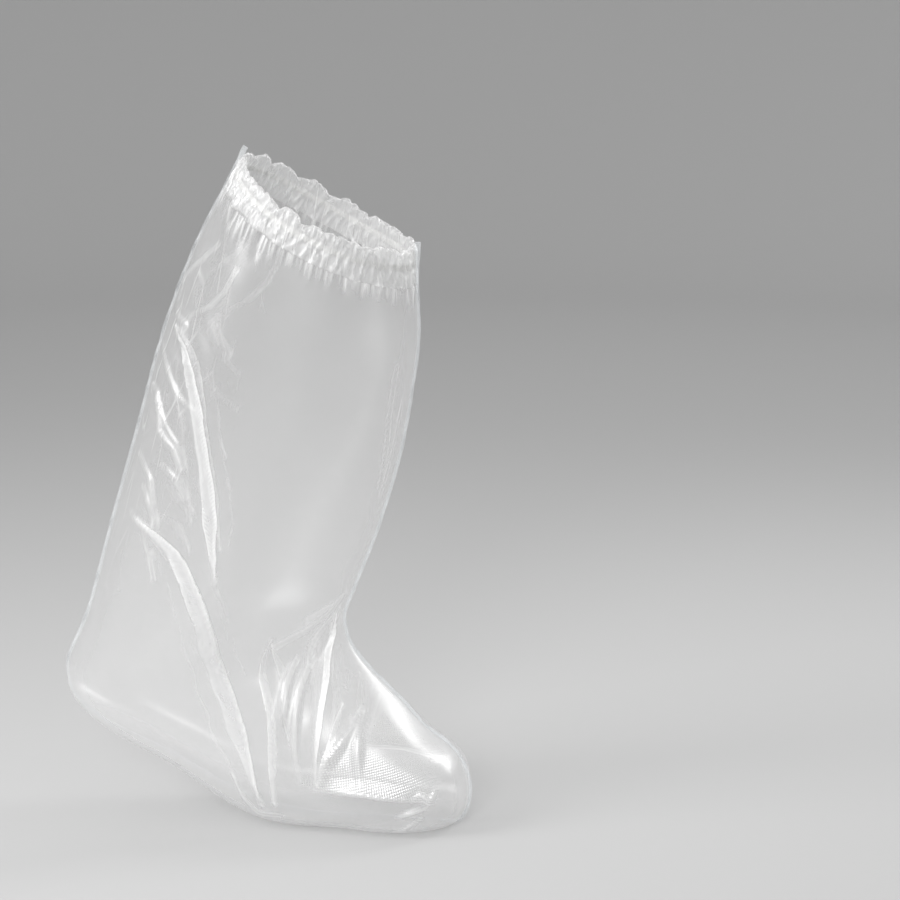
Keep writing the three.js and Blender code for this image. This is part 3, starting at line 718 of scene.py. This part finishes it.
def weld_material():
    """Melted film: clearer than the panels, with ribs across the band and a little gloss."""
    rib_pitch, rib_height = 0.0016, 0.00012
    material, shade = new_material("welded_film")
    flat = shade.node("ShaderNodeUVMap", {"uv_map": "film"})
    length = shade.node("ShaderNodeSeparateXYZ", None, {0: flat}, 0)
    turn = length * (2 * np.pi / rib_pitch)
    ribs = shade.math("SINE", turn)
    cloud = shade.node("ShaderNodeTexNoise", None, {"Vector": flat, "Scale": 90.0, "Detail": 2.0}, 0)
    bump = shade.node("ShaderNodeBump", None, {"Height": ribs, "Strength": 0.6, "Distance": rib_height})
    milky = shade.node("ShaderNodeBsdfPrincipled", None, {
        "Base Color": (0.86, 0.87, 0.88, 1), "Roughness": 0.2 + 0.15 * cloud, "Normal": bump})
    clear = shade.node("ShaderNodeBsdfTransparent", None, {"Color": (0.96, 0.97, 0.975, 1)})
    density = 0.1 + 0.14 * cloud + 0.05 * ribs
    surface = shade.node("ShaderNodeMixShader", None, {0: density, 1: clear, 2: milky})
    shade.node("ShaderNodeOutputMaterial", None, {0: surface})
    return material


points, film = weld_points()
weld = grid_object("weld_seam_film", points, False, film, ring=True, caps=True)
weld.data.materials.append(weld_material())
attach(weld, "root")
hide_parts("weld_seam")

# Elastic
# A narrow white elastic that runs loose inside the hem all round and draws it up. It is knitted rubber thread
# and shows through the film as a paler band.
elastic_middle = 0.46
elastic_height = 0.0058
elastic_gauge = 0.0009
elastic_sides, elastic_columns = 16, 181
casing_depth = 0.0042
station_height = 0.029


def hem_rows(position, depth, way_round, side):
    """Rows of the hem at station positions, a depth inside the bag's surface, with the ways out and up."""
    position = np.asarray(position, float)
    step = 0.03
    surface = bag_side(position, way_round, side)
    down = bag_side(position + step, way_round, side) - bag_side(position - step, way_round, side)
    normals = -side * np.cross(np.gradient(surface, axis=1), down)
    normals /= np.maximum(np.linalg.norm(normals, axis=2, keepdims=True), 1e-12)
    up = -down / np.linalg.norm(down, axis=2, keepdims=True)
    return surface - normals * np.reshape(depth, (len(position), -1, 1)), normals, up


def elastic_points():
    """A rounded strip swept round the hem, in the middle between its two leaves."""
    loop = np.linspace(0, 2 * np.pi, elastic_sides, endpoint=False)
    corner = 0.5
    high = np.sign(np.sin(loop)) * np.abs(np.sin(loop)) ** corner * elastic_height / 2
    thick = np.sign(np.cos(loop)) * np.abs(np.cos(loop)) ** corner * elastic_gauge / 2
    position, depth = elastic_middle + high / station_height, casing_depth / 2 + thick
    way_round = np.linspace(0, 1, elastic_columns)
    halves = [hem_rows(position, depth, way_round, side)[0] for side in (-1, 1)]
    return np.concatenate([halves[0], halves[1][:, -2:0:-1]], axis=1)


def elastic_material():
    """White knitted elastic: ribs along the strip, crossed by a fine knit, both at the slope of the rim."""
    rim_slope, rib_pitch, knit_pitch, knit_height = 0.524, 0.0011, 0.0009, 0.0002
    material, shade = new_material("white_elastic")
    place = shade.node("ShaderNodeTexCoord", None, None, 3)
    x = shade.node("ShaderNodeSeparateXYZ", None, {0: place}, 0)
    z = shade.node("ShaderNodeSeparateXYZ", None, {0: place}, 2)
    ribs = (z + rim_slope * x) * (2 * np.pi / rib_pitch)
    knit = (x - rim_slope * z) * (2 * np.pi / knit_pitch)
    weave = shade.math("SINE", ribs) + 0.5 * shade.math("SINE", knit)
    bump = shade.node("ShaderNodeBump", None, {"Height": weave, "Strength": 0.7, "Distance": knit_height})
    tone = shade.node("ShaderNodeMix", {"data_type": "RGBA"}, {
        0: 0.5 + 0.3 * weave, 6: (0.82, 0.82, 0.81, 1), 7: (0.95, 0.95, 0.94, 1)}, 2)
    thread = shade.node("ShaderNodeBsdfPrincipled", None, {
        "Base Color": tone, "Roughness": 0.8, "Normal": bump})
    through = shade.node("ShaderNodeBsdfTranslucent", None, {"Color": (0.85, 0.85, 0.84, 1), "Normal": bump})
    surface = shade.node("ShaderNodeMixShader", None, {0: 0.45, 1: thread, 2: through})
    shade.node("ShaderNodeOutputMaterial", None, {0: surface})
    return material


elastic = grid_object("elastic_strip", elastic_points(), True, ring=True, loop=True)
elastic.data.materials.append(elastic_material())
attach(elastic, "root")
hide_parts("elastic")

# Hem
# The top of the film turned over to the inside and welded down, with the elastic in it. The elastic gathers
# it to about three quarters of its flat girth, so it is crinkled all over and its top edge is a small ruffle.
leaf_rows, turn_rows = 22, 9
hem_columns = 190
waist_depth, waist_stations = 0.0009, 0.16
ruffle_height, ruffle_waves = 0.0006, (0.010, 0.05)
crinkle_lift, crinkle_waves = 0.0012, ((0.010, 0.04), (0.008, 0.02))
hem_slack, hem_round_spare = 0.02, 0.16
hem_bend, hem_steps = 0.04, 160
flat_over_drawn = 1.35
leaf_top, crest_foot, crest_rise = 0.07, 0.05, 0.08
crest_middle, crest_reach = 0.02, 0.25
weld_hold, foot_stations = 0.03, 0.2
outer_reach, inner_reach = (-0.0005, 0.0024), (-0.0019, 0.0004)


def hem_half(side, seed):
    """Half of the hem: up the outer leaf, over the crest and down the inner leaf, let go with spare film."""
    leaf = np.linspace(1, leaf_top, leaf_rows)
    turn = np.linspace(0, np.pi, turn_rows)[1:-1]
    position = np.concatenate([leaf, crest_foot - crest_rise * np.sin(turn), leaf[::-1]])
    over = np.concatenate([0 * leaf, (1 - np.cos(turn)) / 2, 0 * leaf + 1])
    waist = waist_depth * np.exp(-(((position - elastic_middle) / waist_stations) ** 2))
    way_round = np.linspace(0, 1, hem_columns)
    base, normals, up = hem_rows(position, casing_depth * over + waist * (1 - 2 * over), way_round, side)
    girth = half_girth * way_round
    height = station_height * (1 - position)[:, None]
    crest = np.exp(-(((position - crest_middle) / crest_reach) ** 2))[:, None]
    ruffle = ripples(np.zeros_like(girth), girth, no_waves, ruffle_waves, seed)
    weld_fade = np.minimum(1, np.minimum(way_round, 1 - way_round) / weld_hold)
    base = base + (ruffle_height * crest * ruffle * weld_fade)[..., None] * up
    along, across = np.broadcast_arrays(height, girth)
    crinkle = ripples(along, across, *crinkle_waves, seed + 1)
    foot = np.minimum(1, (1 - position) / foot_stations)[:, None]
    lift = (crinkle_lift * crinkle * foot + (1 - foot) * gather(way_round, hem_seed + side)) * weld_fade
    round_way = np.gradient(base, axis=1)
    round_way /= np.linalg.norm(round_way, axis=2, keepdims=True)
    free = np.ones(base.shape[:2] + (1,))
    free[0] = free[-1] = free[:, 0] = free[:, -1] = 0
    reach = [outer + (inner - outer) * over[:, None] for outer, inner in zip(outer_reach, inner_reach)]
    start = base + lift[..., None] * normals
    spare, slack = [round_way * np.sqrt(hem_round_spare)], np.broadcast_to(hem_slack * foot, along.shape)
    points = settled(start, base, normals, spare, slack, free, hem_steps, hem_bend, form_pull, reach)
    leaf_way = np.append(0, np.cumsum(np.linalg.norm(np.diff(base, axis=0), axis=2).mean(1)))
    leaf_way = np.broadcast_to(leaf_way[:, None], along.shape)
    return points, np.stack([leaf_way, flat_over_drawn * across], -1)


hem_seeds = {-1: 37, 1: 43}
halves = [hem_half(side, hem_seeds[side]) for side in (-1, 1)]
points = np.concatenate([halves[0][0], halves[1][0][:, ::-1]], axis=1)
film = np.concatenate([halves[0][1], halves[1][1][:, ::-1]], axis=1)
hem_crease, hem_crease_from, hem_crease_span, hem_loose = 0.2, 500, 900, 0.6
crease = np.clip(hem_crease + (bends(points) - hem_crease_from) / hem_crease_span, hem_crease, 1)
marks = {"crease": crease, "loose": np.full(points.shape[:2], hem_loose)}
hem = grid_object("top_casing_film", points, False, film, marks, ring=True)
hem.data.materials.append(film_look)
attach(hem, "root")
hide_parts("top_casing")

# Floor, light and camera
# A pale round floor that curves up into a wall on all sides and is open above, with two soft boxes at the
# sides and one in front.
flat_radius, round_radius, wall_rise = 2.6, 1.2, 1.6
round_rows, floor_columns = 24, 96
floor_level = -0.5015


def bowl():
    """Floor and wall in one turned sheet: a flat disc, a quarter round and a straight wall up to the rise."""
    turn = np.linspace(0, np.pi / 2, round_rows)
    curve = flat_radius + round_radius * np.sin(turn)
    radius = np.concatenate([[0, flat_radius / 2], curve, [flat_radius + round_radius]])
    height = np.concatenate([[0, 0], round_radius * (1 - np.cos(turn)), [wall_rise]])
    around = np.linspace(0, 2 * np.pi, floor_columns, endpoint=False)
    x, y = radius[:, None] * np.cos(around), radius[:, None] * np.sin(around)
    z = np.broadcast_to(height[:, None] + floor_level, x.shape)
    return np.stack([x, y, z], -1)


floor = grid_object("floor", bowl(), False, ring=True)
floor_paint, shade = new_material("pale_floor")
paint = shade.node("ShaderNodeBsdfPrincipled", None, {"Base Color": (0.41, 0.41, 0.41, 1), "Roughness": 0.7})
shade.node("ShaderNodeOutputMaterial", None, {0: paint})
floor.data.materials.append(floor_paint)
beam_spread = np.radians(80)


def soft_box(name, place, aim, size, power):
    """A rectangular lamp turned to the aim, with a grid on it that keeps its light off the near floor."""
    light = bpy.data.lights.new(name, "AREA")
    light.shape = "RECTANGLE"
    light.size, light.size_y = size
    light.energy = power
    light.spread = beam_spread
    lamp = bpy.data.objects.new(name, light)
    way = np.subtract(place, aim)
    flat = np.hypot(way[0], way[1])
    lamp.visible_camera = False
    lamp.location = place
    lamp.rotation_euler = (np.arctan2(flat, way[2]), 0, np.arctan2(way[0], -way[1]))
    bpy.context.scene.collection.objects.link(lamp)


middle = (-0.05, 0, -0.25)
soft_box("key", (-1.7, -1.0, 0.8), middle, size=(0.9, 1.4), power=8.6)
soft_box("rim", (1.5, 1.2, 0.8), middle, size=(0.5, 1.4), power=4.6)
soft_box("front", (0.0, -2.6, 0.9), middle, size=(0.9, 0.7), power=10.0)

world = bpy.data.worlds.new("studio")
world.use_nodes = True
world.node_tree.nodes["Background"].inputs["Color"].default_value = (1, 1, 1, 1)
world.node_tree.nodes["Background"].inputs["Strength"].default_value = 0.9
bpy.context.scene.world = world
bpy.context.scene.view_settings.view_transform = "Standard"
bpy.context.scene.cycles.transparent_max_bounces = 48
bpy.context.scene.cycles.caustics_reflective = False

azimuth, elevation = np.radians((11.0, 12.5))
view_distance = 2.2
view_aim = np.array((0.096, 0, -0.1941))
level = np.array((np.sin(azimuth), -np.cos(azimuth), 0))
back = np.cos(elevation) * level + np.sin(elevation) * np.array((0, 0, 1))
lens = bpy.data.cameras.new("camera")
lens.lens = 112
lens.sensor_width = 36
camera = bpy.data.objects.new("camera", lens)
camera.location = view_aim + view_distance * back
camera.rotation_euler = (np.pi / 2 - elevation, 0, azimuth)
bpy.context.scene.collection.objects.link(camera)
bpy.context.scene.camera = camera
